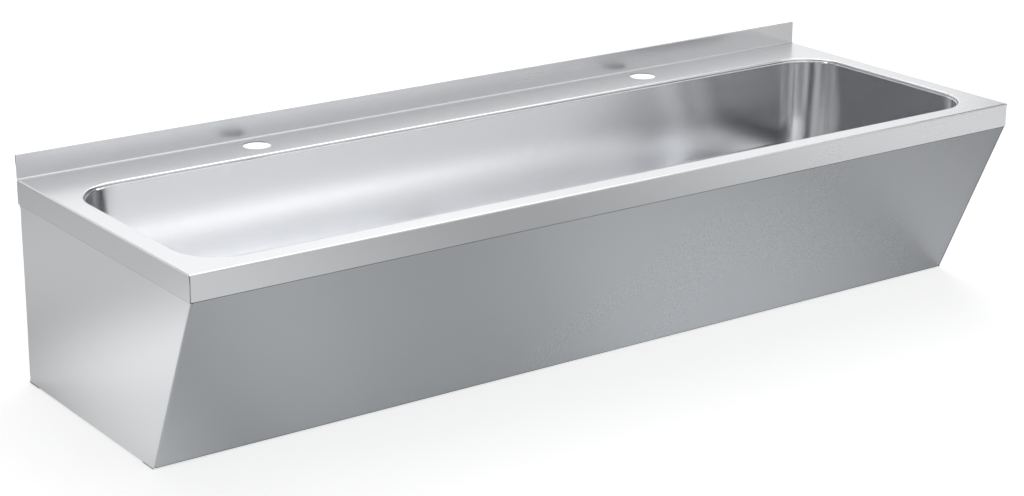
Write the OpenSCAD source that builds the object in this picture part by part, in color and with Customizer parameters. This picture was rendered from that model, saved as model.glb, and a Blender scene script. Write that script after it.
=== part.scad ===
// Wall-hung stainless steel wash trough.
// X runs along the trough, +Y towards the wall and +Z up. The origin is under the middle of the
// whole trough, level with the bottom of its casing.

/* [Deck] */
// Length of the deck, end to end
deck_len = 1200; // [1100:10:1600]
// Depth of the deck, from the wall to its front edge
deck_dep = 420; // [400:5:480]
// Thickness of the stainless sheet
sheet_t = 1.2; // [1:0.1:1.5]
// Height of the skirt folded down along the front and the ends
skirt_h = 30; // [24:1:40]
// Inside radius of the skirt's bends
skirt_bend_r = 0.8; // [0.6:0.1:1.5]
// Gap between the front and end skirts at each front corner
corner_gap = 0.3; // [0.2:0.1:0.6]

/* [Upstand] */
// Height of the upstand above the deck
upstand_h = 30; // [20:1:60]
// Inside radius of the bend between the deck and the upstand
upstand_bend_r = 1.5; // [1:0.1:3]
// Height of the leaf folded back behind the upstand's top edge
hem_h = 12; // [8:1:16]
// Gap between the upstand and its folded leaf
hem_gap = 0.4; // [0.4:0.1:0.8]

/* [Tap holes] */
// Diameter of a tap hole
tap_hole_d = 35; // [28:1:38]
// Distance between the two tap holes
tap_spacing = 600; // [400:10:640]
// Distance of the tap holes from the wall
tap_inset = 35; // [32:1:40]

/* [Bowl opening] */
// Width of the deck's border in front of the opening and at its ends
border_w = 27; // [25:1:40]
// Width of the tap ledge, from the wall to the opening
ledge_w = 75; // [72:1:90]
// Radius of the opening's corners
opening_r = 60; // [50:1:75]
// Inside radius of the deck's edge where it rolls down into the opening
roll_bend_r = 1.2; // [0.8:0.1:2]

/* [Bowl] */
// Width of the bowl's rim that shows inside the opening
rim_w = 3; // [2.5:0.5:6]
// Width of the bowl's flange that is hidden under the deck
flange_w = 8; // [5:1:10]
// Inside radius of the bend between the bowl's rim and its wall
rim_bend_r = 0.8; // [0.6:0.1:1.2]
// Depth of the bowl, from the deck's top to the edge of its floor
bowl_dep = 175; // [150:5:180]
// Depth at which the bowl's front wall starts to lean back
lean_start = 20; // [10:1:40]
// How far the bowl's front wall leans back
bowl_lean = 48; // [30:1:55]
// Fall of the floor, from its edge to the outlet
floor_fall = 5; // [3:1:6]
// Distance of the outlet behind the middle of the floor
outlet_back = 0; // [-5:1:5]
// Diameter of the recess that the waste's flange sits in
recess_d = 86; // [84:1:92]
// Depth of the recess below the floor's lowest point
recess_drop = 3.5; // [3:0.5:5]
// Diameter of the outlet hole
outlet_d = 50; // [49:0.5:52]

/* [Casing] */
// Height from the bottom of the casing to the top of the deck
case_h = 252; // [250:1:320]
// How far the front panel's bottom edge stands back from the deck's front
front_rake = 103; // [40:1:110]
// Height of the casing that laps behind the skirt
casing_lap = 22; // [12:1:22]
// Inside radius of the casing's bends
panel_bend_r = 1.2; // [0.8:0.1:2]
// Width of the casing's bottom and back flanges
case_flange = 20; // [16:1:24]
// Width of the front panel's returns inside the side panels
return_w = 15; // [10:1:18]
// How far the casing's back flanges stand off the wall
back_gap = 3; // [3:0.5:5]

/* [Wall rails] */
// Height of a wall rail
rail_h = 50; // [44:1:54]
// Width of a wall rail's shelf
rail_shelf = 25; // [20:1:28]
// Inside radius of a wall rail's bend
rail_bend_r = 2; // [1.5:0.5:3]
// Depth of the upper rail's bottom below the deck's top
upper_rail_drop = 100; // [90:1:110]
// Height of the lower rail's bottom above the casing's bottom
lower_rail_up = 6; // [5:1:10]
// Distance of a wall screw hole from the deck's end
wall_hole_inset = 100; // [80:5:150]
// Diameter of a wall screw hole
wall_hole_d = 9; // [7:0.5:10]

/* [Stiffening] */
// Thickness of the gussets and the stiffener
stiff_t = 1.5; // [1.2:0.1:2]
// Inside radius of their bends
stiff_bend_r = 1.5; // [1:0.1:2]
// Height of the stiffener under the tap ledge
stiff_h = 14; // [10:1:20]
// Width of the stiffener with its flanges
stiff_w = 48; // [44:1:50]
// Width of a flange of the stiffener or of a gusset
stiff_flange = 12; // [8:1:14]
// Distance of a gusset from the deck's end
gusset_inset = 200; // [170:5:220]
// Distance of a brace from the deck's end
brace_inset = 250; // [200:5:300]
// Width of a brace
brace_w = 30; // [24:1:40]
// Height of the tab at the back of a brace
brace_tab_h = 36; // [34:1:38]

/* [Waste] */
// Diameter of the waste's flange
waste_flange_d = 80; // [76:1:82]
// Thickness of the waste's flange
waste_flange_t = 2; // [1.5:0.1:3]
// Length of the waste below its flange
waste_len = 58; // [50:1:62]
// Outer diameter of the waste's thread
thread_d = 47.8; // [47:0.1:48]
// Diameter of the waste's bore
waste_bore_d = 40; // [36:0.5:41]
// Diameter of the waste's mouth, that the strainer sits in
mouth_d = 44; // [42.5:0.1:44.5]
// Depth of the waste's mouth
mouth_dep = 6; // [4:0.5:8]
// Thickness of the seal under the waste's flange
flange_seal_t = 1.5; // [1:0.1:2]
// Thickness of the seal under the bowl
lower_seal_t = 3; // [2:0.5:4]
// Thickness of the thrust washer
thrust_washer_t = 1.2; // [1:0.1:2]
// Distance across the flats of the waste nut
waste_nut_af = 62; // [58:1:66]
// Height of the waste nut
waste_nut_h = 10; // [8:0.5:12]

/* [Strainer] */
// Thickness of the strainer plate
strainer_t = 1.5; // [1.2:0.1:2]
// Diameter of a hole in the strainer plate
strainer_hole_d = 4.5; // [3:0.1:5]
// Diameter of the knob's head
knob_d = 14; // [12:0.5:16]
// Height of the knob
knob_h = 14; // [12:0.5:16]
// Diameter of the rivet that holds the knob
rivet_d = 4; // [3:0.5:4.5]

/* [Damping pads] */
// Thickness of a sound-deadening pad
pad_t = 3; // [2:0.5:5]

/* [Earth tag] */
// Distance of the earth tag to the right of the trough's middle
earth_x = 0; // [-200:10:200]
// Depth of the earth tag below the deck's top
earth_drop = 40; // [35:1:60]
// Width of the earth tag
earth_w = 20; // [16:1:24]
// Length of the tag's shelf
earth_shelf = 21; // [20:0.5:24]
// Diameter of the earth screw
earth_screw_d = 6; // [5:0.5:6]

/* [Hidden] */
$fn = 64;

// Overrun of every cut, and the shortest straight stretch of a folded sheet that is drawn
overrun = 1;
least_straight = 0.001;
// How far the rounds of the front panel's bends stand over its flats, to blend into them
blend = 0.005;
// Clearance round a screw, a tail or another round piece in its hole
hole_gap = 0.2;
// Gap under and round the strainer plate in its seat
strainer_gap = 0.3;

// Places across the depth and up the height
wall_y = deck_dep / 2;
front_y = -deck_dep / 2;
deck_z = case_h;
end_x = deck_len / 2;
function from_wall(distance) = wall_y - distance;
function below_deck(depth) = deck_z - depth;

// The upstand's thickness over its folded leaf, and the line where the flat deck ends
hem_t = 2 * sheet_t + hem_gap;
deck_back_y = from_wall(hem_t + upstand_bend_r);
skirt_r = skirt_bend_r + sheet_t;

// The opening in the deck and the bowl in plan, as half sizes round the bowl's middle
bowl_y = (front_y + border_w + from_wall(ledge_w)) / 2;
opening_half = [end_x - border_w, (deck_dep - border_w - ledge_w) / 2];
roll_r = roll_bend_r + sheet_t;
bowl_half = opening_half - [rim_w, rim_w];
bowl_r = opening_r - rim_w;
rim_r = rim_bend_r + sheet_t;
rim_z = below_deck(roll_r);
bowl_floor_z = below_deck(bowl_dep);

// The bowl's corners and coves all have the same radius. Their middles lie on the path of Y and
// Z that goes down the front and along the floor to the back.
curve_x = bowl_half[0] - bowl_r;
curve_front_y = bowl_y - bowl_half[1] + bowl_r;
curve_back_y = bowl_y + bowl_half[1] - bowl_r;
curve_path = [
    [curve_front_y, deck_z],
    [curve_front_y, below_deck(lean_start)],
    [curve_front_y + bowl_lean, bowl_floor_z + bowl_r],
    [curve_back_y, bowl_floor_z + bowl_r]
];
lean_angle = atan2(bowl_lean, bowl_dep - lean_start - bowl_r);
// How much wider the bends at the leaning front are, so that they run out into the walls
lean_ease = 1;

// The sloping part of the floor inside a flat margin
floor_margin = 4;
outlet_y = (curve_front_y + bowl_lean + curve_back_y) / 2 + outlet_back;
fall_room = min(outlet_y - curve_front_y - bowl_lean, curve_back_y - outlet_y);
fall_half = [curve_x - floor_margin, fall_room - floor_margin];
recess_z = bowl_floor_z - floor_fall - recess_drop;

// The casing's outer faces, and the gap between its front and the skirt that it laps
lap_gap = 0.1;
side_x = end_x - sheet_t;
case_front_y = front_y + sheet_t + lap_gap;
case_back_y = from_wall(back_gap);
case_top_z = below_deck(skirt_h - casing_lap);
skirt_bottom_z = below_deck(skirt_h);
panel_r = panel_bend_r + sheet_t;
front_foot_y = front_y + front_rake;
front_foot_z = blend;
front_outline = [
    [case_front_y, case_top_z],
    [case_front_y, skirt_bottom_z],
    [front_foot_y, front_foot_z],
    [front_foot_y + case_flange, front_foot_z]
];
rake_run = front_outline[2] - front_outline[1];
rake_len = norm(rake_run);
rake_angle = atan2(rake_run[0], -rake_run[1]);
rake_up = -rake_run / rake_len;
rake_in = [rake_up[1], -rake_up[0]];
// A point in Y and Z, as its distances in from the raked face and up along it
function raked(point) = [
    (point - front_outline[2]) * rake_in,
    (point - front_outline[2]) * rake_up
];
return_end_gap = 2.5;
flange_end_gap = 4;

// The wall rails
rail_t = back_gap;
rail_r = rail_bend_r + rail_t;
rail_end_inset = 2;
rail_x = side_x - rail_end_inset;
rail_shelf_x = side_x - case_flange - flange_end_gap;
upper_rail_z = below_deck(upper_rail_drop);
lower_rail_z = lower_rail_up;
wall_hole_x = end_x - wall_hole_inset;
upper_hole_z = upper_rail_z + rail_h / 2;
lower_hole_z = lower_rail_z + rail_h / 2;

// Countersunk rail screws and their nuts
screw_d = 5;
screw_head_d = 10;
screw_len = 12;
screw_nut_af = 8;
screw_nut_h = 4;
screw_x = side_x - case_flange / 2;
screw_rise_shares = [0.3, 0.75];

// Stiffening under the tap ledge
stiff_r = stiff_bend_r + stiff_t;
stiff_mid_y = (from_wall(ledge_w - flange_w) + deck_back_y) / 2;
tap_nut_room = 60;
stiff_len = tap_spacing - 2 * tap_nut_room;
gusset_x = end_x - gusset_inset;
gusset_clear = 4;
gusset_back_y = deck_back_y - gusset_clear;
gusset_front_y = from_wall(ledge_w - flange_w) + gusset_clear;
gusset_side_h = 30;
brace_x = end_x - brace_inset;
brace_z = front_foot_z + sheet_t;
brace_front_gap = 7;

// Levels of the waste, from the recess up and from the bowl's underside down
waste_flange_z = recess_z + flange_seal_t;
waste_top_z = waste_flange_z + waste_flange_t;
seat_z = waste_top_z - mouth_dep;
bowl_under_z = recess_z - sheet_t;
thrust_z = bowl_under_z - lower_seal_t;
nut_top_z = thrust_z - thrust_washer_t;
nut_bottom_z = nut_top_z - waste_nut_h;
relief_w = 2;
relief_dep = 0.6;
relief_drop = 6;
tail_z = waste_flange_z - waste_len;
seal_edge = 2;

// The strainer
plate_d = mouth_d - 2 * strainer_gap;
plate_z = seat_z + strainer_gap;
plate_top_z = plate_z + strainer_t;
hole_ring_shares = [0.4, 0.76];
hole_ring_counts = [6, 14];
knob_head_share = 0.36;
knob_stem_share = 0.5;
knob_edge_r = 1.5;
rivet_depth_share = 0.5;
rivet_head_share = 2;
rivet_head_h = 1.2;

// Damping pads on the sloping underside of the floor
pad_mid_share = 0.68;
pad_len_share = 0.37;
pad_fill_share = 0.9;

// Earth tag
earth_t = 1.5;
earth_leg = 18;
earth_hole_share = 0.62;
earth_head_h = 4;
earth_head_share = 1.7;
earth_washer_t = 1.6;
earth_washer_share = 2;
earth_nut_h = 5;
earth_nut_share = 1.7;
earth_screw_len = 16;

// Unit vector, and the vector turned a quarter to the left
function unit(v) = v / norm(v);
function left_of(v) = [-v[1], v[0]];
// Left-hand normal of a path's stretch from point i
function side_of(path, i) = left_of(unit(path[i + 1] - path[i]));
// Point i of a path that runs beside the given one, at a distance to its left
function beside_point(path, distance, i) =
    i == 0 ? path[0] + distance * side_of(path, 0)
    : i == len(path) - 1 ? path[i] + distance * side_of(path, i - 1)
    : path[i] + distance * (side_of(path, i - 1) + side_of(path, i))
        / (1 + side_of(path, i - 1) * side_of(path, i));
function beside(path, distance) = [for (i = [0 : len(path) - 1]) beside_point(path, distance, i)];
// How much of a stretch a bend takes at corner i of a path
function bend_take(path, radii, i) =
    i <= 0 || i >= len(path) - 1 ? 0
    : let (a = side_of(path, i - 1), b = side_of(path, i)) radii[i - 1] * norm(a - b) / norm(a + b);

// Cross section of a folded sheet along the middle line of its thickness. radii are the bends'
// radii to that line, one for each corner of the path.
module folded_sheet(path, radii, thickness) {
    for (i = [0 : len(path) - 2]) {
        way = unit(path[i + 1] - path[i]);
        half = left_of(way) * thickness / 2;
        a = path[i] + way * bend_take(path, radii, i);
        b = path[i + 1] - way * bend_take(path, radii, i + 1);
        if ((b - a) * way > least_straight)
            polygon([a - half, b - half, b + half, a + half]);
    }
    for (i = [1 : len(path) - 2])
        sheet_bend(
            path[i], side_of(path, i - 1), side_of(path, i), radii[i - 1],
            bend_take(path, radii, i), thickness
        );
}

// One bend of a folded sheet, between the normals before and after it
module sheet_bend(corner, before, after, radius, take, thickness) {
    inner_way = cross([before[0], before[1], 0], [after[0], after[1], 0])[2] > 0 ? 1 : -1;
    along = -left_of(before);
    middle = corner - along * take + before * inner_way * radius;
    reach = radius + thickness;
    a = -before * inner_way * reach;
    b = -after * inner_way * reach;
    translate(middle)
        intersection() {
            difference() {
                circle(radius + thickness / 2);
                circle(radius - thickness / 2);
            }
            polygon([[0, 0], a, (a + b) / (1 + before * after), b]);
        }
}

// A cross section drawn in Y and Z, run along X from the middle both ways
module along_x(length) {
    translate([-length / 2, 0, 0])
        rotate([90, 0, 90])
            linear_extrude(length)
                children();
}

// A cross section drawn in X and Z, run along Y between two places
module along_y(from, to) {
    translate([0, to, 0])
        rotate([90, 0, 0])
            linear_extrude(to - from)
                children();
}

// A profile carried round a rectangle with round corners. The profile's X is the distance out
// from the corners' axes.
module around(half, radius) {
    for (turn = [0 : 3]) {
        h = turn % 2 == 0 ? half : [half[1], half[0]];
        rotate(90 * turn)
            translate([h[0] - radius, h[1] - radius, 0]) {
                rotate_extrude(angle = 90)
                    children();
                rotate([90, 0, 0])
                    linear_extrude(2 * (h[1] - radius))
                        children();
            }
    }
}

module middle_block(half, radius, height) {
    size = 2 * (half - [radius, radius]);
    translate([-size[0] / 2, -size[1] / 2, 0])
        cube([size[0], size[1], height]);
}

// A rectangular block with round upright corners
module rounded_block(half, radius, height) {
    around(half, radius)
        square([radius, height]);
    middle_block(half, radius, height);
}

// A sheet's edge rolled down round a rectangle with round corners. half and radius give the
// face of its upright part, and the top of the roll is at height zero.
module rolled_edge(half, radius, roll) {
    around(half, radius)
        translate([radius + roll, -roll])
            intersection() {
                difference() {
                    circle(roll);
                    circle(roll - sheet_t);
                }
                translate([-roll, 0])
                    square(roll);
            }
}

// A wide block with a rounded top edge at its ends, in X and Z, with its top at height zero
module ends_rounded(width, height, radius) {
    translate([-width / 2, -height])
        square([width, height - radius]);
    translate([radius - width / 2, -radius])
        square([width - 2 * radius, radius]);
    for (side = [-1, 1])
        translate([side * (width / 2 - radius), -radius])
            intersection() {
                circle(radius);
                translate([min(side, 0) * radius, 0])
                    square(radius);
            }
}

// A block with a rounded top edge at its front, in Y and Z, with its top at height zero
module front_rounded(front, back, height, radius) {
    translate([front, -height])
        square([back - front, height - radius]);
    translate([front + radius, -radius])
        square([back - front - radius, radius]);
    translate([front + radius, -radius])
        intersection() {
            circle(radius);
            translate([-radius, 0])
                square(radius);
        }
}

// The deck's outside as a solid, or its inside where inset is the sheet's thickness
module deck_form(inset, radius, down, back) {
    translate([0, 0, deck_z - inset])
        intersection() {
            along_y(front_y + inset, back)
                ends_rounded(deck_len - 2 * inset, skirt_h - inset + down, radius);
            along_x(deck_len)
                front_rounded(front_y + inset, back, skirt_h - inset + down, radius);
        }
}

// The slit between the skirts at a front corner
module corner_slit(side) {
    width = sheet_t + corner_gap;
    translate([side * (end_x - width / 2), front_y + width / 2, skirt_bottom_z])
        translate([-width / 2, -width / 2, -overrun])
            cube([width, width, skirt_h - skirt_r + overrun]);
}

module upstand() {
    front_mid_y = from_wall(hem_t - sheet_t / 2);
    leaf_mid_y = from_wall(sheet_t / 2);
    top_z = deck_z + upstand_h - sheet_t / 2;
    hem_mid_r = (leaf_mid_y - front_mid_y) / 2;
    path = [
        [deck_back_y, deck_z - sheet_t / 2],
        [front_mid_y, deck_z - sheet_t / 2],
        [front_mid_y, top_z],
        [leaf_mid_y, top_z],
        [leaf_mid_y, deck_z + upstand_h - hem_h]
    ];
    along_x(deck_len)
        folded_sheet(path, [upstand_bend_r + sheet_t / 2, hem_mid_r, hem_mid_r], sheet_t);
}

module deck() {
    color([0.80, 0.81, 0.82]) {
        difference() {
            deck_form(0, skirt_r, 0, deck_back_y);
            deck_form(sheet_t, skirt_bend_r, overrun, deck_back_y + overrun);
            translate([0, bowl_y, deck_z - sheet_t - overrun])
                rounded_block(
                    opening_half + [roll_r, roll_r], opening_r + roll_r, sheet_t + 2 * overrun
                );
            for (side = [-1, 1]) {
                translate([side * tap_spacing / 2, from_wall(tap_inset), deck_z - sheet_t - overrun])
                    cylinder(d = tap_hole_d, h = sheet_t + 2 * overrun);
                corner_slit(side);
            }
        }
        translate([0, bowl_y, deck_z])
            rolled_edge(opening_half, opening_r, roll_r);
        upstand();
        for (side = [-1, 1])
            translate([side * (end_x - sheet_t / 2) - sheet_t / 2, deck_back_y, skirt_bottom_z])
                cube([sheet_t, from_wall(hem_t - sheet_t) - deck_back_y, skirt_h - skirt_r]);
    }
}

// A basin with upright walls, round corners and coves, as a solid that stands out from the
// bowl's inner faces by grow
module upright_form(grow, top_z) {
    radius = bowl_r + grow;
    floor_z = bowl_floor_z - grow;
    half = bowl_half + [grow, grow];
    translate([0, bowl_y, floor_z]) {
        around(half, radius)
            translate([0, radius]) {
                square([radius, top_z - floor_z - radius]);
                intersection() {
                    circle(radius);
                    translate([0, -radius])
                        square(radius);
                }
            }
        middle_block(half, radius, top_z - floor_z);
    }
}

// The space behind the leaning front wall, with its round corners at both ends
module leaning_form(grow) {
    radius = bowl_r + grow + lean_ease;
    foot = curve_path[2];
    translate([0, foot[0], foot[1]])
        rotate([lean_angle, 0, 0])
            translate([0, lean_ease, -bowl_dep])
                linear_extrude(2 * bowl_dep) {
                    for (side = [-1, 1])
                        translate([side * curve_x, 0])
                            circle(radius);
                    translate([-curve_x, -radius])
                        square([2 * curve_x, radius]);
                    translate([-curve_x - radius, 0])
                        square([2 * (curve_x + radius), deck_dep]);
                }
}

// The space behind and over the bends at the top and the foot of the leaning front wall
module bent_form(grow) {
    radius = bowl_r + grow + lean_ease;
    flat = radius - blend;
    out = -side_of(curve_path, 1);
    far_y = curve_path[3][0] + 2 * radius;
    along_x(2 * (curve_x + radius)) {
        polygon([
            curve_path[0] - [flat, 0],
            curve_path[1] - [flat, 0],
            curve_path[1] + flat * out,
            curve_path[2] + flat * out,
            curve_path[2] - [0, flat],
            [far_y, curve_path[2][1] - flat],
            [far_y, deck_z]
        ]);
        for (i = [1, 2])
            translate(curve_path[i])
                circle(radius);
    }
}

// The bowl's form, that stands out from its inner faces by grow
module bowl_form(grow, top_z) {
    intersection() {
        upright_form(grow, top_z);
        leaning_form(grow);
        bent_form(grow);
    }
}

// The floor's shallow fall to the outlet, as a solid under the given level
module floor_fall_form(level, lap) {
    a = fall_half[0];
    b = fall_half[1];
    translate([0, outlet_y, 0])
        intersection() {
            along_y(-b, b)
                polygon([
                    [-a, level + lap], [a, level + lap], [a, level], [0, level - floor_fall], [-a, level]
                ]);
            along_x(2 * a)
                polygon([
                    [-b, level + lap], [b, level + lap], [b, level], [0, level - floor_fall], [-b, level]
                ]);
        }
}

module bowl_outside() {
    bottom_z = bowl_floor_z - sheet_t;
    bowl_form(sheet_t, rim_z - rim_r);
    floor_fall_form(bottom_z, sheet_t / 2);
    translate([0, outlet_y, bowl_under_z])
        cylinder(d = recess_d + 2 * sheet_t, h = bottom_z + sheet_t / 2 - bowl_under_z);
}

module bowl_inside() {
    bowl_form(0, rim_z - rim_r + overrun);
    floor_fall_form(bowl_floor_z, overrun);
    translate([0, outlet_y, recess_z])
        cylinder(d = recess_d, h = bowl_floor_z + overrun - recess_z);
    translate([0, outlet_y, bowl_under_z - overrun])
        cylinder(d = outlet_d, h = sheet_t + 2 * overrun);
}

module bowl() {
    flange_half = opening_half + [flange_w, flange_w];
    color([0.76, 0.77, 0.78]) {
        difference() {
            bowl_outside();
            bowl_inside();
        }
        translate([0, bowl_y, rim_z])
            rolled_edge(bowl_half, bowl_r, rim_r);
        translate([0, bowl_y, rim_z - sheet_t])
            difference() {
                rounded_block(flange_half, opening_r + flange_w, sheet_t);
                translate([0, 0, -overrun])
                    rounded_block(bowl_half + [rim_r, rim_r], bowl_r + rim_r, sheet_t + 2 * overrun);
            }
    }
}

// The middle of the front panel's bend at a corner of its outline
function bend_middle(i) =
    let (path = front_outline, radii = [panel_r, panel_r])
        path[i] - unit(path[i] - path[i - 1]) * bend_take(path, radii, i)
            + side_of(path, i - 1) * panel_r;

// Everything behind the front panel's outer face, or behind a face that lies deeper by inset
module behind_front(inset, past) {
    path = front_outline;
    radius = panel_r - inset;
    first = path[0] + [inset, past];
    last = path[3] + [past, inset];
    points = [
        first,
        bend_middle(1) - side_of(path, 0) * radius,
        bend_middle(1) - side_of(path, 1) * radius,
        bend_middle(2) - side_of(path, 1) * radius,
        bend_middle(2) - side_of(path, 2) * radius,
        last,
        [last[0], first[1]]
    ];
    polygon([for (point = points) raked(point)]);
    for (i = [1, 2])
        translate(raked(bend_middle(i)))
            circle(radius + blend);
}

// The front panel's return and bend at its right-hand end, along the rake
module panel_return() {
    end = side_x - sheet_t;
    face = [[end - panel_r, 0], [end, 0], [end, return_w]];
    translate([0, 0, return_end_gap])
        linear_extrude(rake_len - 2 * return_end_gap)
            folded_sheet(beside(face, sheet_t / 2), [panel_r - sheet_t / 2], sheet_t);
}

module front_panel() {
    color([0.62, 0.64, 0.66])
        translate([0, front_foot_y, front_foot_z])
            rotate([rake_angle, 0, 0]) {
                along_x(2 * (side_x - sheet_t - panel_r))
                    difference() {
                        behind_front(0, 0);
                        behind_front(sheet_t, overrun);
                    }
                panel_return();
                mirror([1, 0, 0])
                    panel_return();
            }
}

// A flange's bend and leg in X and a second axis, for a sheet on the right-hand side face
module side_flange() {
    face = [[side_x, panel_r], [side_x, 0], [side_x - case_flange, 0]];
    folded_sheet(beside(face, -sheet_t / 2), [panel_r - sheet_t / 2], sheet_t);
}

module side_panel() {
    flange_front_y = front_foot_y + case_flange + flange_end_gap;
    flange_back_y = case_back_y - case_flange - flange_end_gap;
    back_flange_bottom_z = flange_end_gap;
    back_flange_top_z = skirt_bottom_z - flange_end_gap;
    outline = [
        [case_back_y, case_top_z],
        [case_front_y, case_top_z],
        [case_front_y, skirt_bottom_z],
        [front_foot_y, 0],
        [flange_front_y, 0],
        [flange_front_y, panel_r],
        [flange_back_y, panel_r],
        [flange_back_y, 0],
        [case_back_y, 0],
        [case_back_y, back_flange_bottom_z],
        [case_back_y - panel_r, back_flange_bottom_z],
        [case_back_y - panel_r, back_flange_top_z],
        [case_back_y, back_flange_top_z]
    ];
    translate([side_x - sheet_t / 2, 0, 0])
        along_x(sheet_t)
            polygon(outline);
    along_y(flange_front_y, flange_back_y)
        side_flange();
    difference() {
        translate([0, case_back_y, back_flange_bottom_z])
            mirror([0, 1, 0])
                linear_extrude(back_flange_top_z - back_flange_bottom_z)
                    side_flange();
        for (place = rail_screw_places())
            flange_hole(place);
    }
}

module right_side_panel() {
    color([0.74, 0.75, 0.76])
        side_panel();
}

module left_side_panel() {
    color([0.78, 0.79, 0.80])
        mirror([1, 0, 0])
            side_panel();
}

// Places of the rail screws at the right-hand side panel
function rail_screw_places() = [
    for (level = [upper_rail_z, lower_rail_z], share = screw_rise_shares)
        [screw_x, level + share * rail_h]
];

// A clearance hole for a rail screw in the casing's back flange
module flange_hole(place) {
    translate([place[0], case_back_y + overrun, place[1]])
        rotate([90, 0, 0])
            cylinder(d = screw_d + 2 * hole_gap, h = sheet_t + 2 * overrun);
}

// Place of the screw that holds the right-hand brace's tab
brace_screw_place = [brace_x, brace_z + brace_tab_h / 2];
all_screw_places = concat(
    [for (place = rail_screw_places(), side = [-1, 1]) [side * place[0], place[1]]],
    [for (side = [-1, 1]) [side * brace_screw_place[0], brace_screw_place[1]]]
);

// A countersunk screw, or with a gap its hole, driven from the wall side
module countersunk(place, gap) {
    head_h = (screw_head_d - screw_d) / 2;
    translate([place[0], wall_y, place[1]])
        rotate([90, 0, 0]) {
            cylinder(d1 = screw_head_d + 2 * gap, d2 = screw_d + 2 * gap, h = head_h);
            translate([0, 0, head_h])
                cylinder(d = screw_d + 2 * gap, h = screw_len - head_h);
        }
}

// A wall rail's section with its shelf at the bottom, standing on height zero
module rail_section() {
    face = [[wall_y, rail_h], [wall_y, 0], [from_wall(rail_shelf), 0]];
    folded_sheet(beside(face, -rail_t / 2), [rail_r - rail_t / 2], rail_t);
}

module wall_rail(hole_z) {
    color([0.66, 0.67, 0.68])
        difference() {
            children();
            for (side = [-1, 1])
                translate([side * wall_hole_x, wall_y + overrun, hole_z])
                    rotate([90, 0, 0])
                        cylinder(d = wall_hole_d, h = rail_t + 2 * overrun);
            for (place = all_screw_places)
                countersunk(place, hole_gap / 2);
        }
}

// The rail's flat ends, beyond its shelf, between two heights
module rail_ends(bottom_z, top_z) {
    for (side = [-1, 1])
        translate([side * (rail_x + rail_shelf_x) / 2, from_wall(rail_t), bottom_z])
            translate([(rail_shelf_x - rail_x) / 2, 0, 0])
                cube([rail_x - rail_shelf_x, rail_t, top_z - bottom_z]);
}

module upper_wall_rail() {
    wall_rail(upper_hole_z) {
        translate([0, 0, upper_rail_z])
            along_x(2 * rail_shelf_x)
                rail_section();
        rail_ends(upper_rail_z + rail_r, upper_rail_z + rail_h);
    }
}

module lower_wall_rail() {
    wall_rail(lower_hole_z) {
        translate([0, 0, lower_rail_z + rail_h])
            mirror([0, 0, 1])
                along_x(2 * rail_shelf_x)
                    rail_section();
        rail_ends(lower_rail_z, lower_rail_z + rail_h - rail_r);
    }
}

module tap_ledge_stiffener() {
    top_z = below_deck(sheet_t);
    outer = stiff_w / 2;
    inner = outer - stiff_flange;
    mid_r = stiff_r - stiff_t / 2;
    face = [
        [stiff_mid_y - outer, top_z],
        [stiff_mid_y - inner, top_z],
        [stiff_mid_y - inner, top_z - stiff_h],
        [stiff_mid_y + inner, top_z - stiff_h],
        [stiff_mid_y + inner, top_z],
        [stiff_mid_y + outer, top_z]
    ];
    color([0.66, 0.67, 0.68])
        along_x(stiff_len)
            folded_sheet(beside(face, -stiff_t / 2), [mid_r, mid_r, mid_r, mid_r], stiff_t);
}

// A gusset between the tap ledge and the upper rail's shelf, with a flange under the ledge
module gusset() {
    top_z = below_deck(sheet_t);
    shelf_z = upper_rail_z + rail_t;
    bend_z = top_z - stiff_r;
    face = [[gusset_x, bend_z], [gusset_x, top_z], [gusset_x - stiff_flange, top_z]];
    outline = [
        [gusset_front_y, bend_z],
        [gusset_front_y, top_z - gusset_side_h],
        [from_wall(rail_shelf), shelf_z],
        [gusset_back_y, shelf_z],
        [gusset_back_y, bend_z]
    ];
    color([0.66, 0.67, 0.68]) {
        along_y(gusset_front_y, gusset_back_y)
            folded_sheet(beside(face, stiff_t / 2), [stiff_r - stiff_t / 2], stiff_t);
        translate([gusset_x - stiff_t / 2, 0, 0])
            along_x(stiff_t)
                polygon(outline);
    }
}

module right_gusset() {
    gusset();
}

module left_gusset() {
    mirror([1, 0, 0])
        gusset();
}

// A strip from the front panel's bottom flange to a tab against the lower rail
module brace() {
    tab_y = case_back_y;
    face = [
        [tab_y, brace_z + brace_tab_h],
        [tab_y, brace_z],
        [front_foot_y + brace_front_gap, brace_z]
    ];
    color([0.66, 0.67, 0.68])
        difference() {
            translate([brace_x, 0, 0])
                along_x(brace_w)
                    folded_sheet(beside(face, -stiff_t / 2), [stiff_r - stiff_t / 2], stiff_t);
            translate([brace_screw_place[0], tab_y + overrun, brace_screw_place[1]])
                rotate([90, 0, 0])
                    cylinder(d = screw_d + 2 * hole_gap, h = stiff_t + 2 * overrun);
        }
}

module right_brace() {
    brace();
}

module left_brace() {
    mirror([1, 0, 0])
        brace();
}

module rail_screws() {
    color([0.72, 0.72, 0.73])
        for (place = all_screw_places)
            countersunk(place, 0);
}

module rail_nuts() {
    color([0.72, 0.72, 0.73])
        for (place = all_screw_places) {
            clamped = abs(place[0]) > rail_shelf_x ? sheet_t : stiff_t;
            translate([place[0], case_back_y - clamped, place[1]])
                rotate([90, 0, 0])
                    hex_nut(screw_nut_af, screw_nut_h, screw_d + 2 * hole_gap);
        }
}

// A hexagon nut, by the distance across its flats
module hex_nut(flats, height, bore) {
    difference() {
        cylinder(d = flats / cos(30), h = height, $fn = 6);
        translate([0, 0, -overrun])
            cylinder(d = bore, h = height + 2 * overrun);
    }
}

// A flat ring that stands on height zero
module ring(outer, inner, height) {
    difference() {
        cylinder(d = outer, h = height);
        translate([0, 0, -overrun])
            cylinder(d = inner, h = height + 2 * overrun);
    }
}

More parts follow.
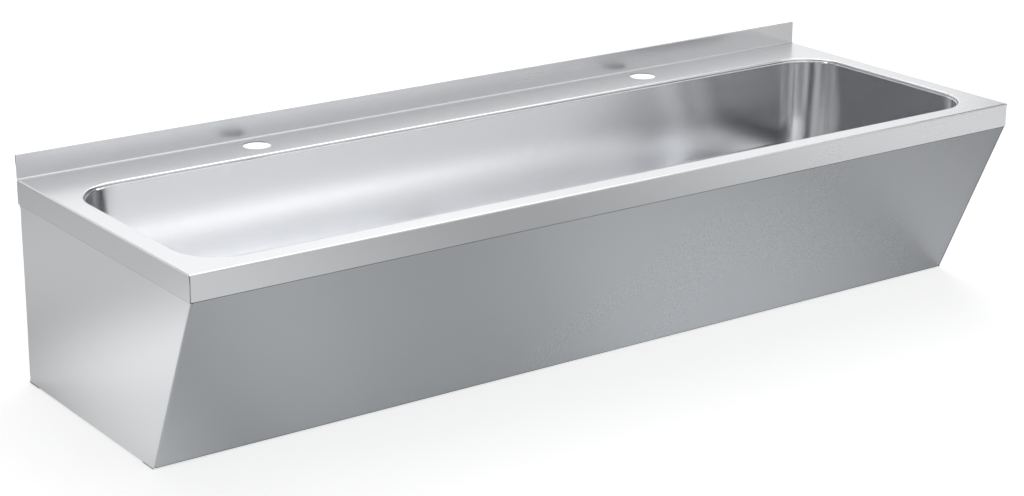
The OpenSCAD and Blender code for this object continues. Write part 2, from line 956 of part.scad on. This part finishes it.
// The right-hand pad, on the slope of the floor's underside
module damping_pad() {
    a = fall_half[0];
    mid_x = pad_mid_share * a;
    pad_len = pad_len_share * a;
    slope = atan(floor_fall / a);
    inner_share = pad_mid_share - pad_len_share / 2;
    pad_w = 2 * fall_half[1] * inner_share * pad_fill_share;
    under_z = bowl_floor_z - sheet_t - floor_fall * (1 - pad_mid_share);
    color([0.16, 0.16, 0.17])
        translate([mid_x, outlet_y, under_z])
            rotate([0, -slope, 0])
                translate([-pad_len / 2, -pad_w / 2, -pad_t])
                    cube([pad_len, pad_w, pad_t]);
}

module right_damping_pad() {
    damping_pad();
}

module left_damping_pad() {
    mirror([1, 0, 0])
        damping_pad();
}

// The earth tag hangs on the bowl's back wall, with a shelf for the screw
earth_wall_y = bowl_y + bowl_half[1] + sheet_t;
earth_top_z = below_deck(earth_drop);
earth_hole_y = earth_wall_y + earth_hole_share * earth_shelf;

module earth_tag() {
    face = [
        [earth_wall_y, earth_top_z - earth_leg],
        [earth_wall_y, earth_top_z],
        [earth_wall_y + earth_shelf, earth_top_z]
    ];
    color([0.70, 0.70, 0.71])
        difference() {
            translate([earth_x, 0, 0])
                along_x(earth_w)
                    folded_sheet(beside(face, -earth_t / 2), [earth_t], earth_t);
            translate([earth_x, earth_hole_y, earth_top_z - earth_t - overrun])
                cylinder(d = earth_screw_d + 2 * hole_gap, h = earth_t + 2 * overrun);
        }
}

module earth_screw() {
    head_z = earth_top_z + earth_washer_t;
    color([0.74, 0.74, 0.75])
        translate([earth_x, earth_hole_y, head_z]) {
            cylinder(d = earth_head_share * earth_screw_d, h = earth_head_h);
            translate([0, 0, -earth_screw_len])
                cylinder(d = earth_screw_d, h = earth_screw_len);
        }
}

module earth_washers() {
    color([0.70, 0.60, 0.35])
        for (z = [earth_top_z, earth_top_z - earth_t - earth_washer_t])
            translate([earth_x, earth_hole_y, z])
                ring(earth_washer_share * earth_screw_d, earth_screw_d + 2 * hole_gap, earth_washer_t);
}

module earth_nut() {
    color([0.74, 0.74, 0.75])
        translate([earth_x, earth_hole_y, earth_top_z - earth_t - earth_washer_t - earth_nut_h])
            hex_nut(earth_nut_share * earth_screw_d, earth_nut_h, earth_screw_d + 2 * hole_gap);
}

// Pieces on the waste's upright axis
module on_waste(z) {
    translate([0, outlet_y, z])
        children();
}

module waste_body() {
    color([0.82, 0.83, 0.84])
        difference() {
            union() {
                on_waste(waste_flange_z)
                    cylinder(d = waste_flange_d, h = waste_flange_t);
                on_waste(tail_z)
                    cylinder(d = thread_d, h = waste_flange_z - tail_z);
            }
            on_waste(tail_z - overrun)
                cylinder(d = waste_bore_d, h = seat_z - tail_z + 2 * overrun);
            on_waste(seat_z)
                cylinder(d = mouth_d, h = mouth_dep + overrun);
            on_waste(nut_bottom_z - relief_drop - relief_w)
                ring(thread_d + 2 * overrun, thread_d - 2 * relief_dep, relief_w);
        }
}

module flange_seal() {
    color([0.12, 0.12, 0.12])
        on_waste(recess_z)
            ring(waste_flange_d - 2 * seal_edge, thread_d + 2 * hole_gap, flange_seal_t);
}

module lower_seal() {
    color([0.12, 0.12, 0.12])
        on_waste(thrust_z)
            ring(recess_d - 2 * seal_edge, thread_d + 2 * hole_gap, lower_seal_t);
}

module thrust_washer() {
    color([0.85, 0.85, 0.83])
        on_waste(nut_top_z)
            ring(recess_d - 2 * seal_edge, thread_d + 2 * hole_gap, thrust_washer_t);
}

module waste_nut() {
    color([0.20, 0.20, 0.21])
        on_waste(nut_bottom_z)
            hex_nut(waste_nut_af, waste_nut_h, thread_d + 2 * hole_gap);
}

module strainer_plate() {
    color([0.82, 0.83, 0.84])
        on_waste(plate_z)
            difference() {
                cylinder(d = plate_d, h = strainer_t);
                translate([0, 0, -overrun])
                    cylinder(d = rivet_d + hole_gap, h = strainer_t + 2 * overrun);
                for (i = [0 : len(hole_ring_counts) - 1], k = [1 : hole_ring_counts[i]])
                    rotate(360 * k / hole_ring_counts[i])
                        translate([hole_ring_shares[i] * plate_d / 2, 0, -overrun])
                            cylinder(d = strainer_hole_d, h = strainer_t + 2 * overrun);
            }
}

// The knob's half outline: a stem under a head with a rounded top edge
module knob_outline() {
    head_h = knob_head_share * knob_h;
    head_r = knob_d / 2;
    square([knob_stem_share * head_r, knob_h - head_h]);
    translate([0, knob_h - head_h])
        square([head_r, head_h - knob_edge_r]);
    translate([0, knob_h - knob_edge_r])
        square([head_r - knob_edge_r, knob_edge_r]);
    translate([head_r - knob_edge_r, knob_h - knob_edge_r])
        intersection() {
            circle(knob_edge_r);
            square(knob_edge_r);
        }
}

module strainer_knob() {
    color([0.86, 0.87, 0.88])
        on_waste(plate_top_z)
            difference() {
                rotate_extrude()
                    knob_outline();
                translate([0, 0, -overrun])
                    cylinder(d = rivet_d + hole_gap, h = rivet_depth_share * knob_h + overrun);
            }
}

module knob_rivet() {
    color([0.78, 0.79, 0.80])
        on_waste(plate_z) {
            translate([0, 0, -rivet_head_h])
                cylinder(d = rivet_head_share * rivet_d, h = rivet_head_h);
            cylinder(d = rivet_d, h = strainer_t + rivet_depth_share * knob_h - hole_gap);
        }
}

deck();
bowl();
front_panel();
left_side_panel();
right_side_panel();
upper_wall_rail();
lower_wall_rail();
tap_ledge_stiffener();
left_gusset();
right_gusset();
left_brace();
right_brace();
rail_screws();
rail_nuts();
left_damping_pad();
right_damping_pad();
earth_tag();
earth_screw();
earth_washers();
earth_nut();
waste_body();
flange_seal();
lower_seal();
thrust_washer();
waste_nut();
strainer_plate();
strainer_knob();
knob_rivet();
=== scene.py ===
"""Looks of the stainless wash trough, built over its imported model."""

import math

import bpy
from mathutils import Matrix, Vector


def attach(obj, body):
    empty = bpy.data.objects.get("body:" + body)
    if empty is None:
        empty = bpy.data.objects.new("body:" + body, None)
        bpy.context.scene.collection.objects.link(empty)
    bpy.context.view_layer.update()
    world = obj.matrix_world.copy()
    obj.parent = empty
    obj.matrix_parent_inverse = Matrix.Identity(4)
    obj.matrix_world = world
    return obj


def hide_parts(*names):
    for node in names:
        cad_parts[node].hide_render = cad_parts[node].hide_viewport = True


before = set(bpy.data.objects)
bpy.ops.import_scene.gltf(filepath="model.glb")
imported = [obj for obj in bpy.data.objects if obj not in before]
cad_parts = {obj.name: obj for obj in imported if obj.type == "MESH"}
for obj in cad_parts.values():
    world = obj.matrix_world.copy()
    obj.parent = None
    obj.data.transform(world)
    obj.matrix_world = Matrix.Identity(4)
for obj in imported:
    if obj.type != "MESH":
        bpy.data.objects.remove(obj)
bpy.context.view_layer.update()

scene = bpy.context.scene

WHITE = (1, 1, 1)
UNSTRETCHED = (1, 1, 1)

# Camera: turns in radians, place and farthest sight in metres, film and lens in millimetres,
# and the shift as a share of the picture's width
CAMERA_YAW = 0.6222
CAMERA_PITCH = -0.29534
CAMERA_ROLL = 0.003977
CAMERA_PLACE = (-1.6828, -2.2862, 1.0525)
FARTHEST_SIGHT = 50
FILM_WIDTH = 36
LENS_LENGTH = 84.23
CAMERA_SHIFT = -0.0586

# Sheet steel: its grain runs along one axis, and the lines of the grain are one share of the
# spread in colour and roughness, while wide clouds are the other. The painted shade at a seam
# varies between its least and 1, and is full within the core's share of its reach
ALONG_X = 0
ALONG_Z = 2
STRETCH_ACROSS = 90.0
STRETCH_ALONG = 3.0
LINE_SHARE = 0.15
CLOUD_SHARE = 0.85
SHEET_BUMP_HEIGHT = 0.00005
SEAM_SHADE = (0.10, 0.105, 0.11)
SEAM_SHADE_LEAST = 0.75
SEAM_SHADE_CORE = 0.6

# Where shade is painted along seams, gaps and the bowl's rim, in metres: places on the named axes, and
# how far it reaches from them
DECK_SEAMS = [({"X": 0.6, "Y": -0.21}, 0.0011)]
BOWL_SEAMS = [({"Z": 0.2506}, 0.0018)]
FRONT_SEAMS = [({"X": 0.5988}, 0.0014), ({"Z": 0.0}, 0.0018), ({"Z": 0.222}, 0.0018)]
SIDE_SEAMS = [({"Z": 0.0}, 0.0016), ({"Z": 0.222}, 0.0014)]

# How far a fine grain moves the roughness of metals, and of rubber and plastic, and how high
# it stands on metals, in metres
METAL_ROUGH_SPREAD = 0.06
METAL_BUMP_HEIGHT = 0.0003
SOFT_ROUGH_SPREAD = 0.08

# The floor lies a little below the object's foot. To the camera it also glows
FLOOR_HALF_SIZE = 9.0
FLOOR_DROP = 0.0006
FLOOR_COLOUR = (0.50, 0.50, 0.50)
FLOOR_GLOW = 0.68

# Glowing patches of the floor that show only in reflections: middle, radius of the full
# strength, radius where it ends, and strength
POOLS = [
    ((-0.38, -0.20, 0), 0.0, 0.39, 0.32),
    ((0.13, -0.13, 0), 0.0, 0.46, 0.42),
    ((0.62, -0.82, 0), 0.05, 0.45, 0.22),
    ((0.50, -0.15, 0), 0.0, 0.4, 0.22),
    ((-0.90, 0.00, 0), 0.22, 0.46, 0.52),
    ((-0.98, 0.60, 0), 0.1, 0.65, 0.20),
    ((-0.40, -0.95, 0), 0.1, 0.7, 0.50),
    ((1.20, -0.90, 0), 0.1, 0.7, 0.60),
]

# The world's strength as a light, and as the camera and reflections see it
WORLD_LIGHT = 0.85
WORLD_SEEN = 1.0

# Studio screens: name, first and last bearing in degrees, lowest and highest edge in metres,
# and grey. The first one also has a glow, and the middle and grey of a darker patch
SCREEN_RADIUS = 3.7
SCREEN_STEPS = 36
SCREEN_ROWS = 8
SCREEN_RED = 0.94
SCREEN_BLUE = 1.08
DARK_PATCH_RADII = (0.05, 0.5)
DARK_PATCH_GLOW = (0.2, 0.2, 0.2)
SCREENS = [
    ("front_screen", 112, 205, -0.05, 2.4, 0.93, 0.20, (2.24, -2.95, 0.95), 0.36),
    ("left_screen", 210, 262, 1.2, 4.9, 0.16),
    ("back_left_screen", 285, 318, 1.2, 4.9, 0.02),
    ("back_screen", 320, 358, 2.6, 3.7, 0.12),
    ("left_top_screen", 258, 344, 3.6, 6.8, 0.17),
    ("right_screen", 57, 110, 0.5, 3.8, 0.02),
]

# Soft lamps: name, place and size in metres, and power in watts
LAMP_TARGET = (0, 0, 0.2)
LAMPS = [
    ("top_lamp", (0.5, 0.7, 2.9), (2.4, 1.6), 9),
    ("back_lamp", (1.3, 3.4, 1.85), (1.9, 2.0), 1.4),
    ("high_lamp", (1.9, 1.9, 3.4), (1.9, 1.5), 20),
]

# The waste: radii, heights above the casing's foot, and the thread's pitch and depth, in
# metres. The slope and the crest shape the thread's wave. The mesh has a number of rows to a
# pitch and of steps to a turn, and its edges are sharp from an angle in degrees
BORE_RADIUS = 0.020
MOUTH_RADIUS = 0.022
TAIL_RADIUS = 0.0239
FLANGE_RADIUS = 0.040
TAIL_FOOT = 0.012
GROOVE_LOW = 0.0451
GROOVE_HIGH = 0.0471
STRAINER_SEAT = 0.066
FLANGE_UNDER = 0.070
FLANGE_TOP = 0.072
THREAD_PITCH = 0.0023
THREAD_DEPTH = 0.0011
THREAD_SLOPE = 1.25
THREAD_CREST = 0.1
ROWS_PER_PITCH = 6
TURN_STEPS = 64
SHARP_ANGLE = 40


# Camera at the photograph's angle
def add_camera():
    level = math.cos(CAMERA_PITCH)
    ahead = Vector((level * math.sin(CAMERA_YAW), level * math.cos(CAMERA_YAW), math.sin(CAMERA_PITCH)))
    right = ahead.cross(Vector((0, 0, 1))).normalized()
    up = right.cross(ahead)
    across = right * math.cos(CAMERA_ROLL) + up * math.sin(CAMERA_ROLL)
    above = -right * math.sin(CAMERA_ROLL) + up * math.cos(CAMERA_ROLL)
    data = bpy.data.cameras.new("camera")
    data.sensor_width = FILM_WIDTH
    data.lens = LENS_LENGTH
    data.shift_y = CAMERA_SHIFT
    data.clip_end = FARTHEST_SIGHT
    camera = bpy.data.objects.new("camera", data)
    turn = Matrix((across, above, -ahead)).transposed()
    camera.matrix_world = Matrix.Translation(CAMERA_PLACE) @ turn.to_4x4()
    scene.collection.objects.link(camera)
    scene.camera = camera


# A new material, and small helpers for its nodes
class Tree:
    def __init__(self, name):
        self.material = bpy.data.materials.new(name)
        self.material.use_nodes = True
        self.graph = self.material.node_tree
        self.shader = self.graph.nodes["Principled BSDF"]

    def node(self, kind, **values):
        made = self.graph.nodes.new(kind)
        for key, value in values.items():
            setattr(made, key, value)
        return made

    def link(self, source, target):
        self.graph.links.new(source, target)

    def place(self):
        return self.node("ShaderNodeTexCoord").outputs["Object"]

    def noise(self, place, stretch, scale, detail, roughness):
        mapping = self.node("ShaderNodeMapping")
        mapping.inputs["Scale"].default_value = stretch
        self.link(place, mapping.inputs["Vector"])
        noise = self.node("ShaderNodeTexNoise")
        noise.inputs["Scale"].default_value = scale
        noise.inputs["Detail"].default_value = detail
        noise.inputs["Roughness"].default_value = roughness
        self.link(mapping.outputs["Vector"], noise.inputs["Vector"])
        return noise.outputs["Fac"]

    # From values between from_low and from_high, where most of a noise lies, to low and high
    def remap(self, value, low, high, from_low=0.3, from_high=0.7):
        node = self.node("ShaderNodeMapRange")
        node.inputs["From Min"].default_value = from_low
        node.inputs["From Max"].default_value = from_high
        node.inputs["To Min"].default_value = low
        node.inputs["To Max"].default_value = high
        self.link(value, node.inputs["Value"])
        return node.outputs["Result"]

    def blend(self, share, low, high):
        node = self.node("ShaderNodeMix", data_type="RGBA")
        node.inputs["A"].default_value = low + (1,)
        node.inputs["B"].default_value = high + (1,)
        self.link(share, node.inputs["Factor"])
        return node.outputs["Result"]

    def combine(self, first, second, operation="ADD"):
        node = self.node("ShaderNodeMath", operation=operation)
        self.link(first, node.inputs[0])
        self.link(second, node.inputs[1])
        return node.outputs["Value"]

    def combine_number(self, first, number, operation="ADD"):
        node = self.node("ShaderNodeMath", operation=operation)
        self.link(first, node.inputs[0])
        node.inputs[1].default_value = number
        return node.outputs["Value"]

    def bump(self, height, strength, distance):
        node = self.node("ShaderNodeBump")
        node.inputs["Strength"].default_value = strength
        node.inputs["Distance"].default_value = distance
        self.link(height, node.inputs["Height"])
        self.link(node.outputs["Normal"], self.shader.inputs["Normal"])

    # 1 at the seam's places on its axes, fading to 0 at its reach. X counts on both sides
    def near_seam(self, place, seam):
        spots, reach = seam
        parts = self.node("ShaderNodeSeparateXYZ")
        self.link(place, parts.inputs[0])
        farthest = None
        for axis, at in spots.items():
            value = parts.outputs[axis]
            if axis == "X":
                value = self.combine_number(value, 0.0, "ABSOLUTE")
            away = self.combine_number(self.combine_number(value, -at), 0.0, "ABSOLUTE")
            farthest = self.combine(farthest, away, "MAXIMUM") if farthest else away
        return self.remap(farthest, 1.0, 0.0, reach * SEAM_SHADE_CORE, reach)

    # A soft round patch about a spot, from 1 within near down to 0 at far
    def patch(self, place, spot, near, far):
        away = self.node("ShaderNodeVectorMath", operation="DISTANCE")
        self.link(place, away.inputs[0])
        away.inputs[1].default_value = spot
        node = self.node("ShaderNodeMapRange", interpolation_type="SMOOTHSTEP")
        node.inputs["From Min"].default_value = far
        node.inputs["From Max"].default_value = near
        self.link(away.outputs["Value"], node.inputs["Value"])
        return node.outputs["Result"]


# Ground sheet steel, with a grain along one axis, faint clouds, and painted shade at its seams
def sheet_steel(name, grain, dark, light, rough, rough_spread, bump, seams=()):
    tree = Tree(name)
    tree.shader.inputs["Metallic"].default_value = 1.0
    place = tree.place()
    stretch = [STRETCH_ACROSS] * 3
    stretch[grain] = STRETCH_ALONG
    lines = tree.noise(place, stretch, scale=5.0, detail=2.0, roughness=0.5)
    clouds = tree.noise(place, UNSTRETCHED, scale=2.2, detail=1.0, roughness=0.4)
    mixed = tree.combine(tree.remap(lines, 0.0, LINE_SHARE), tree.remap(clouds, 0.0, CLOUD_SHARE))
    colour = tree.blend(mixed, dark, light)
    # Painted shade: the colour darkens to a near-black grey along each seam and gap, broken up by a
    # noise
    if seams:
        shade_breakup = tree.noise(place, UNSTRETCHED, scale=17.0, detail=3.0, roughness=0.5)
        shade = None
        for seam in seams:
            near = tree.near_seam(place, seam)
            shade = tree.combine(shade, near, "MAXIMUM") if shade else near
        seam_shading = tree.node("ShaderNodeMix", data_type="RGBA")
        shade_amount = tree.combine(shade, tree.remap(shade_breakup, SEAM_SHADE_LEAST, 1.0), "MULTIPLY")
        tree.link(shade_amount, seam_shading.inputs["Factor"])
        tree.link(colour, seam_shading.inputs["A"])
        seam_shading.inputs["B"].default_value = SEAM_SHADE + (1,)
        colour = seam_shading.outputs["Result"]
    tree.link(colour, tree.shader.inputs["Base Color"])
    line_spread = tree.remap(lines, -LINE_SHARE, LINE_SHARE)
    spread = tree.combine(line_spread, tree.remap(clouds, -CLOUD_SHARE, CLOUD_SHARE))
    roughness = tree.remap(spread, rough - rough_spread, rough + rough_spread, -1.0, 1.0)
    tree.link(roughness, tree.shader.inputs["Roughness"])
    tree.bump(lines, bump, SHEET_BUMP_HEIGHT)
    return tree.material


# Plated, polished or plain metal with an even fine grain
def plain_metal(name, dark, light, rough, scale=60.0, bump=0.08):
    tree = Tree(name)
    tree.shader.inputs["Metallic"].default_value = 1.0
    place = tree.place()
    grain = tree.noise(place, UNSTRETCHED, scale, detail=4.0, roughness=0.6)
    clouds = tree.noise(place, UNSTRETCHED, scale / 8, detail=2.0, roughness=0.5)
    colour = tree.blend(tree.remap(clouds, 0.0, 1.0), dark, light)
    tree.link(colour, tree.shader.inputs["Base Color"])
    roughness = tree.remap(grain, rough - METAL_ROUGH_SPREAD, rough + METAL_ROUGH_SPREAD)
    tree.link(roughness, tree.shader.inputs["Roughness"])
    tree.bump(grain, bump, METAL_BUMP_HEIGHT)
    return tree.material


# Rubber or plastic with an even fine grain
def soft_stuff(name, dark, light, rough, scale=90.0, bump=0.25, distance=0.0005):
    tree = Tree(name)
    place = tree.place()
    grain = tree.noise(place, UNSTRETCHED, scale, detail=4.0, roughness=0.65)
    clouds = tree.noise(place, UNSTRETCHED, scale / 7, detail=3.0, roughness=0.5)
    colour = tree.blend(tree.remap(clouds, 0.0, 1.0), dark, light)
    tree.link(colour, tree.shader.inputs["Base Color"])
    roughness = tree.remap(grain, rough - SOFT_ROUGH_SPREAD, rough + SOFT_ROUGH_SPREAD)
    tree.link(roughness, tree.shader.inputs["Roughness"])
    tree.bump(grain, bump, distance)
    return tree.material


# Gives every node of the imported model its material
def dress():
    deck = sheet_steel(
        "deck_steel", ALONG_X, (0.768, 0.774, 0.788), (0.784, 0.790, 0.804),
        rough=0.27, rough_spread=0.008, bump=0.003, seams=DECK_SEAMS)
    bowl = sheet_steel(
        "bowl_steel", ALONG_X, (0.764, 0.770, 0.784), (0.778, 0.784, 0.798),
        rough=0.19, rough_spread=0.006, bump=0.003, seams=BOWL_SEAMS)
    # The front panel is a darker copy of the same sheet steel: painted shade for the shadowed floor it
    # reflects
    front = sheet_steel(
        "front_steel_shaded", ALONG_Z, (0.606, 0.626, 0.651), (0.620, 0.640, 0.665),
        rough=0.27, rough_spread=0.008, bump=0.003, seams=FRONT_SEAMS)
    # The side panels are a lighter copy of the same sheet steel: painted light
    side = sheet_steel(
        "side_steel_lit", ALONG_Z, (0.828, 0.835, 0.852), (0.842, 0.849, 0.866),
        rough=0.25, rough_spread=0.008, bump=0.003, seams=SIDE_SEAMS)
    mill = sheet_steel(
        "mill_finish_steel", ALONG_X, (0.50, 0.51, 0.52), (0.60, 0.61, 0.62),
        rough=0.42, rough_spread=0.08, bump=0.06)
    plated = plain_metal("plated_steel", (0.62, 0.62, 0.60), (0.74, 0.74, 0.72), rough=0.32)
    chrome = plain_metal(
        "polished_waste", (0.74, 0.75, 0.76), (0.82, 0.83, 0.84), rough=0.14, scale=80.0, bump=0.03)
    brass = plain_metal("brass", (0.66, 0.50, 0.24), (0.76, 0.60, 0.32), rough=0.30)
    pad = soft_stuff(
        "damping_sheet", (0.020, 0.020, 0.022), (0.045, 0.045, 0.048),
        rough=0.82, scale=160.0, bump=0.5, distance=0.0008)
    seal = soft_stuff("seal_rubber", (0.018, 0.018, 0.019), (0.034, 0.034, 0.036), rough=0.62)
    pale = soft_stuff(
        "pale_plastic", (0.68, 0.68, 0.65), (0.76, 0.76, 0.73), rough=0.45, scale=120.0, bump=0.08)
    dark = soft_stuff(
        "dark_plastic", (0.030, 0.030, 0.033), (0.050, 0.050, 0.054),
        rough=0.42, scale=120.0, bump=0.12)
    table = {
        "deck": deck, "bowl": bowl, "front_panel": front,
        "left_side_panel": side, "right_side_panel": side,
        "upper_wall_rail": mill, "lower_wall_rail": mill, "tap_ledge_stiffener": mill,
        "left_gusset": mill, "right_gusset": mill, "left_brace": mill, "right_brace": mill,
        "rail_screws": plated, "rail_nuts": plated,
        "left_damping_pad": pad, "right_damping_pad": pad,
        "earth_tag": mill, "earth_screw": plated, "earth_washers": brass, "earth_nut": plated,
        "waste_body": chrome, "flange_seal": seal, "lower_seal": seal,
        "thrust_washer": pale, "waste_nut": dark,
        "strainer_plate": chrome, "strainer_knob": chrome, "knob_rivet": plated,
    }
    for name, material in table.items():
        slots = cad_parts[name].data.materials
        if len(slots):
            slots[0] = material
        else:
            slots.append(material)


# The floor keeps the object's shadow. The glow brings it to white where the camera sees it
def add_floor():
    mesh = bpy.data.meshes.new("floor")
    size = FLOOR_HALF_SIZE
    corners = [(-size, -size, 0), (size, -size, 0), (size, size, 0), (-size, size, 0)]
    mesh.from_pydata(corners, [], [(0, 1, 2, 3)])
    floor = bpy.data.objects.new("floor", mesh)
    floor.location = (0, 0, -FLOOR_DROP)
    scene.collection.objects.link(floor)
    tree = Tree("floor")
    tree.shader.inputs["Roughness"].default_value = 0.9
    tree.shader.inputs["Base Color"].default_value = FLOOR_COLOUR + (1,)
    out = tree.graph.nodes["Material Output"]
    path = tree.node("ShaderNodeLightPath")
    glow = tree.node("ShaderNodeEmission")
    seen = tree.remap(path.outputs["Is Camera Ray"], 0.0, FLOOR_GLOW, 0.0, 1.0)
    place = tree.place()
    pools = None
    for spot, near, far, strength in POOLS:
        pool = tree.remap(tree.patch(place, spot, near, far), 0.0, strength, 0.0, 1.0)
        pools = tree.combine(pools, pool) if pools else pool
    glossy = path.outputs["Is Glossy Ray"]
    mirrored = tree.combine(glossy, path.outputs["Is Transmission Ray"], "MAXIMUM")
    strength = tree.combine(seen, tree.combine(mirrored, pools, "MULTIPLY"))
    tree.link(strength, glow.inputs["Strength"])
    both = tree.node("ShaderNodeAddShader")
    tree.link(tree.shader.outputs["BSDF"], both.inputs[0])
    tree.link(glow.outputs["Emission"], both.inputs[1])
    tree.link(both.outputs["Shader"], out.inputs["Surface"])
    mesh.materials.append(tree.material)


# A white world, dimmer as a light than to the camera and in reflections
def add_world():
    world = bpy.data.worlds.new("world")
    world.use_nodes = True
    scene.world = world
    nodes, links = world.node_tree.nodes, world.node_tree.links
    background = nodes["Background"]
    background.inputs["Color"].default_value = WHITE + (1,)
    path = nodes.new("ShaderNodeLightPath")
    seen = path.outputs["Is Camera Ray"]
    for kind in ("Is Glossy Ray", "Is Transmission Ray"):
        most = nodes.new("ShaderNodeMath")
        most.operation = "MAXIMUM"
        links.new(seen, most.inputs[0])
        links.new(path.outputs[kind], most.inputs[1])
        seen = most.outputs["Value"]
    strength = nodes.new("ShaderNodeMapRange")
    strength.inputs["To Min"].default_value = WORLD_LIGHT
    strength.inputs["To Max"].default_value = WORLD_SEEN
    links.new(seen, strength.inputs["Value"])
    links.new(strength.outputs["Result"], background.inputs["Strength"])


# A curved studio screen around the object, slightly blue, which the camera doesn't see
def add_screen(name, first, last, low, high, grey, glow=0.0, spot=None, dark=0.0):
    points, faces = [], []
    for row in range(SCREEN_ROWS + 1):
        z = low + (high - low) * row / SCREEN_ROWS
        for i in range(SCREEN_STEPS + 1):
            turn = math.radians(first + (last - first) * i / SCREEN_STEPS)
            points.append((SCREEN_RADIUS * math.sin(turn), SCREEN_RADIUS * math.cos(turn), z))
    for row in range(SCREEN_ROWS):
        for i in range(SCREEN_STEPS):
            here = row * (SCREEN_STEPS + 1) + i
            above = here + SCREEN_STEPS + 1
            faces.append((here, here + 1, above + 1, above))
    mesh = bpy.data.meshes.new(name)
    mesh.from_pydata(points, [], faces)
    screen = bpy.data.objects.new(name, mesh)
    scene.collection.objects.link(screen)
    tree = Tree(name)
    tree.shader.inputs["Roughness"].default_value = 1.0
    tree.shader.inputs["Specular IOR Level"].default_value = 0.0
    tree.shader.inputs["Base Color"].default_value = (SCREEN_RED * grey, grey, SCREEN_BLUE * grey, 1)
    tree.shader.inputs["Emission Strength"].default_value = glow
    if spot:
        there = tree.patch(tree.place(), spot, *DARK_PATCH_RADII)
        colour = tree.blend(there, (grey, grey, grey), (dark, dark, dark))
        tree.link(colour, tree.shader.inputs["Base Color"])
        glow_colour = tree.blend(there, WHITE, DARK_PATCH_GLOW)
        tree.link(glow_colour, tree.shader.inputs["Emission Color"])
    mesh.materials.append(tree.material)
    screen.visible_camera = False


def add_lamp(name, place, size, power):
    data = bpy.data.lights.new(name, "AREA")
    data.shape = "RECTANGLE"
    data.size, data.size_y = size
    data.energy = power
    lamp = bpy.data.objects.new(name, data)
    way = Vector(LAMP_TARGET) - Vector(place)
    turn = way.to_track_quat("-Z", "Y").to_matrix()
    lamp.matrix_world = Matrix.Translation(place) @ turn.to_4x4()
    scene.collection.objects.link(lamp)


# The waste's outline, from its bore round its outside: radius, height, and how deep the
# thread is there as a share of its full depth, which fades in and out over one pitch
def waste_outline():
    rows = [
        (BORE_RADIUS, TAIL_FOOT + 0.0006, 0.0),
        (BORE_RADIUS + 0.0006, TAIL_FOOT, 0.0),
        (TAIL_RADIUS - THREAD_DEPTH - 0.0004, TAIL_FOOT, 0.0),
    ]
    for low, high in ((TAIL_FOOT + 0.0005, GROOVE_LOW), (GROOVE_HIGH, FLANGE_UNDER - 0.0020)):
        count = round((high - low) / THREAD_PITCH * ROWS_PER_PITCH)
        for i in range(count + 1):
            share = min(1.0, i / ROWS_PER_PITCH, (count - i) / ROWS_PER_PITCH)
            radius = TAIL_RADIUS - THREAD_DEPTH * (1 - share)
            rows.append((radius, low + (high - low) * i / count, share))
        if high == GROOVE_LOW:
            rows.append((TAIL_RADIUS - 0.0006, GROOVE_LOW, 0.0))
            rows.append((TAIL_RADIUS - 0.0006, GROOVE_HIGH, 0.0))
    rows += [
        (TAIL_RADIUS - 0.0003, FLANGE_UNDER - 0.0006, 0.0),
        (TAIL_RADIUS, FLANGE_UNDER, 0.0),
        (FLANGE_RADIUS - 0.0005, FLANGE_UNDER, 0.0),
        (FLANGE_RADIUS, FLANGE_UNDER + 0.0005, 0.0),
        (FLANGE_RADIUS, FLANGE_TOP - 0.0009, 0.0),
        (FLANGE_RADIUS - 0.0009, FLANGE_TOP, 0.0),
        (MOUTH_RADIUS + 0.0006, FLANGE_TOP, 0.0),
        (MOUTH_RADIUS, FLANGE_TOP - 0.0006, 0.0),
        (MOUTH_RADIUS, STRAINER_SEAT, 0.0),
        (BORE_RADIUS, STRAINER_SEAT, 0.0),
    ]
    return rows


# The waste with its real screw thread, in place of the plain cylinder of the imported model
def add_threaded_waste():
    rows = waste_outline()
    verts, faces = [], []
    for radius, z, share in rows:
        for i in range(TURN_STEPS):
            turn = 2 * math.pi * i / TURN_STEPS
            wave = abs(((z / THREAD_PITCH - i / TURN_STEPS) % 1.0) * 2 - 1)
            cut = THREAD_DEPTH * share * min(1.0, max(0.0, THREAD_SLOPE * wave - THREAD_CREST))
            verts.append(((radius - cut) * math.cos(turn), (radius - cut) * math.sin(turn), z))
    for row in range(len(rows)):
        here = row * TURN_STEPS
        after = (row + 1) % len(rows) * TURN_STEPS
        for i in range(TURN_STEPS):
            beside = (i + 1) % TURN_STEPS
            faces.append((here + i, here + beside, after + beside, after + i))
    mesh = bpy.data.meshes.new("threaded_waste")
    mesh.from_pydata(verts, [], faces)
    mesh.polygons.foreach_set("use_smooth", [True] * len(faces))
    mesh.set_sharp_from_angle(angle=math.radians(SHARP_ANGLE))
    mesh.materials.append(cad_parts["waste_body"].data.materials[0])
    waste = bpy.data.objects.new("threaded_waste", mesh)
    scene.collection.objects.link(waste)
    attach(waste, "trough")
    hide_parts("waste_body")


add_camera()
dress()
add_threaded_waste()
add_floor()
add_world()
for values in SCREENS:
    add_screen(*values)
for values in LAMPS:
    add_lamp(*values)

scene.view_settings.view_transform = "Standard"
